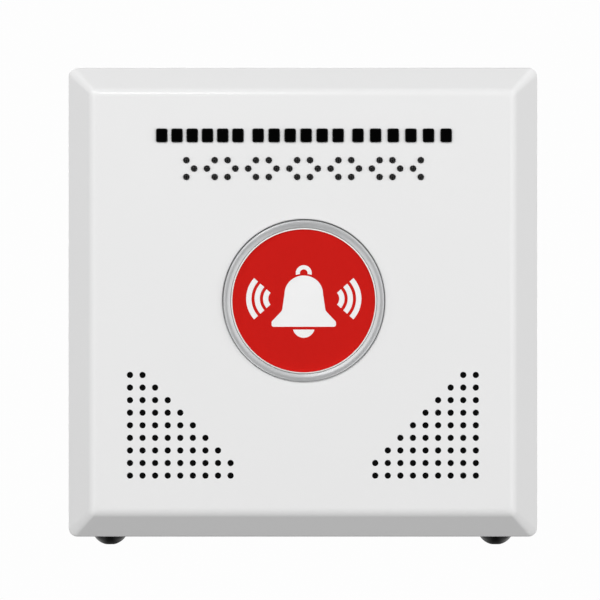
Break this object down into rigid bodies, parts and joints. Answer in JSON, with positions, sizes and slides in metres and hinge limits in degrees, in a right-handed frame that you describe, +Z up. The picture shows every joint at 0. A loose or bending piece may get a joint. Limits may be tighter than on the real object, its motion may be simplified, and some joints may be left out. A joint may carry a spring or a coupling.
{
  "type": "pedestrian push button",
  "caption": "Square wall box with a round lit push button, raised beads and blocks, sound holes, microswitch, loudspeaker, microphone and board.",
  "frame": {"origin": "centre of the back plate's wall face", "axes": "+Z up; +Y into the wall; the front with the button faces -Y; +X to the right as seen from the front"},
  "size_m": [0.138, 0.0411, 0.141],
  "materials": {
    "white_shell": "semi-gloss moulded",
    "plate_plastic": "matt moulded",
    "black_plastic": "matt moulded",
    "black_marks": "semi-gloss moulded",
    "white_plastic": "moulded",
    "clear_plastic": "clear polycarbonate",
    "satin_ring": "satin metallised plastic",
    "red_film": "printed film",
    "milk_plastic": "opal",
    "red_plastic": "moulded",
    "blue_plastic": "moulded",
    "green_plastic": "moulded",
    "circuit_board": "solder-masked glass fibre",
    "lead_jacket": "flexible jacket",
    "paper_cone": "pressed paper",
    "foam": "closed-cell foam",
    "rubber": "moulded",
    "steel": "zinc plated",
    "black_steel": "blackened",
    "aluminium": "drawn",
    "brass": "machined"
  },
  "bodies": {
    "case": {"back_plate": "plate_plastic", "front_cover": "white_shell", "bead_insert": "black_marks", "heading_insert": "black_marks", "case_screw_left": "black_steel", "case_screw_right": "black_steel", "case_insert_left": "brass", "case_insert_right": "brass", "wall_gasket": "rubber", "cable_grommet": "rubber", "button_bezel": "satin_ring", "bezel_seal": "rubber", "button_housing": "black_plastic", "housing_screw_1": "steel", "housing_screw_2": "steel", "housing_screw_3": "steel", "housing_screw_4": "steel", "return_spring": "steel", "microswitch_body": "black_plastic", "switch_terminal_common": "brass", "switch_terminal_open": "brass", "switch_terminal_closed": "brass", "led_board": "circuit_board", "led_1": "milk_plastic", "led_2": "milk_plastic", "led_3": "milk_plastic", "led_4": "milk_plastic", "speaker_gasket": "foam", "speaker_basket": "steel", "speaker_magnet": "steel", "speaker_clamp_1": "steel", "speaker_clamp_2": "steel", "clamp_screw_1": "steel", "clamp_screw_2": "steel", "microphone_boot": "rubber", "microphone_capsule": "steel", "microphone_board": "circuit_board", "main_board": "circuit_board", "board_screw_1": "steel", "board_screw_2": "steel", "board_screw_3": "steel", "board_screw_4": "steel", "terminal_block": "green_plastic", "relay": "blue_plastic", "processor": "black_plastic", "button_header": "milk_plastic", "speaker_header": "milk_plastic", "microphone_header": "milk_plastic", "capacitor": "aluminium", "button_lead": "lead_jacket", "speaker_lead": "lead_jacket", "microphone_lead": "lead_jacket"},
    "button": {"button_lens": "clear_plastic", "legend_film": "red_film", "light_diffuser": "milk_plastic", "button_plunger": "white_plastic"},
    "switch_plunger": {"microswitch_plunger": "red_plastic"},
    "switch_lever": {"microswitch_lever": "steel"},
    "speaker_cone": {"speaker_cone": "paper_cone"}
  },
  "joints": [
    {"name": "button_press", "type": "slide", "parent": "case", "child": "button", "axis": [0, 1, 0], "range_m": [0, 0.0025], "stiffness_N_per_m": 900, "springref_m": -0.002, "deforming": ["return_spring"]},
    {"name": "switch_plunger_slide", "type": "slide", "parent": "case", "child": "switch_plunger", "axis": [0, 1, 0], "range_m": [0, 0.001]},
    {"name": "switch_lever_turn", "type": "hinge", "parent": "case", "child": "switch_lever", "pos_m": [-0.009, -0.03245, 0.0144], "axis": [0, 0, 1], "range_deg": [0, 8]},
    {"name": "speaker_cone_travel", "type": "slide", "parent": "case", "child": "speaker_cone", "axis": [0, 1, 0], "range_m": [-0.0004, 0.0004], "stiffness_N_per_m": 1500}
  ],
  "couplings": [
    {"joint": "switch_plunger_slide", "follows": "button_press", "ratio": 0.4},
    {"joint": "switch_lever_turn", "follows": "button_press", "rad_per_m": 55.556}
  ]
}
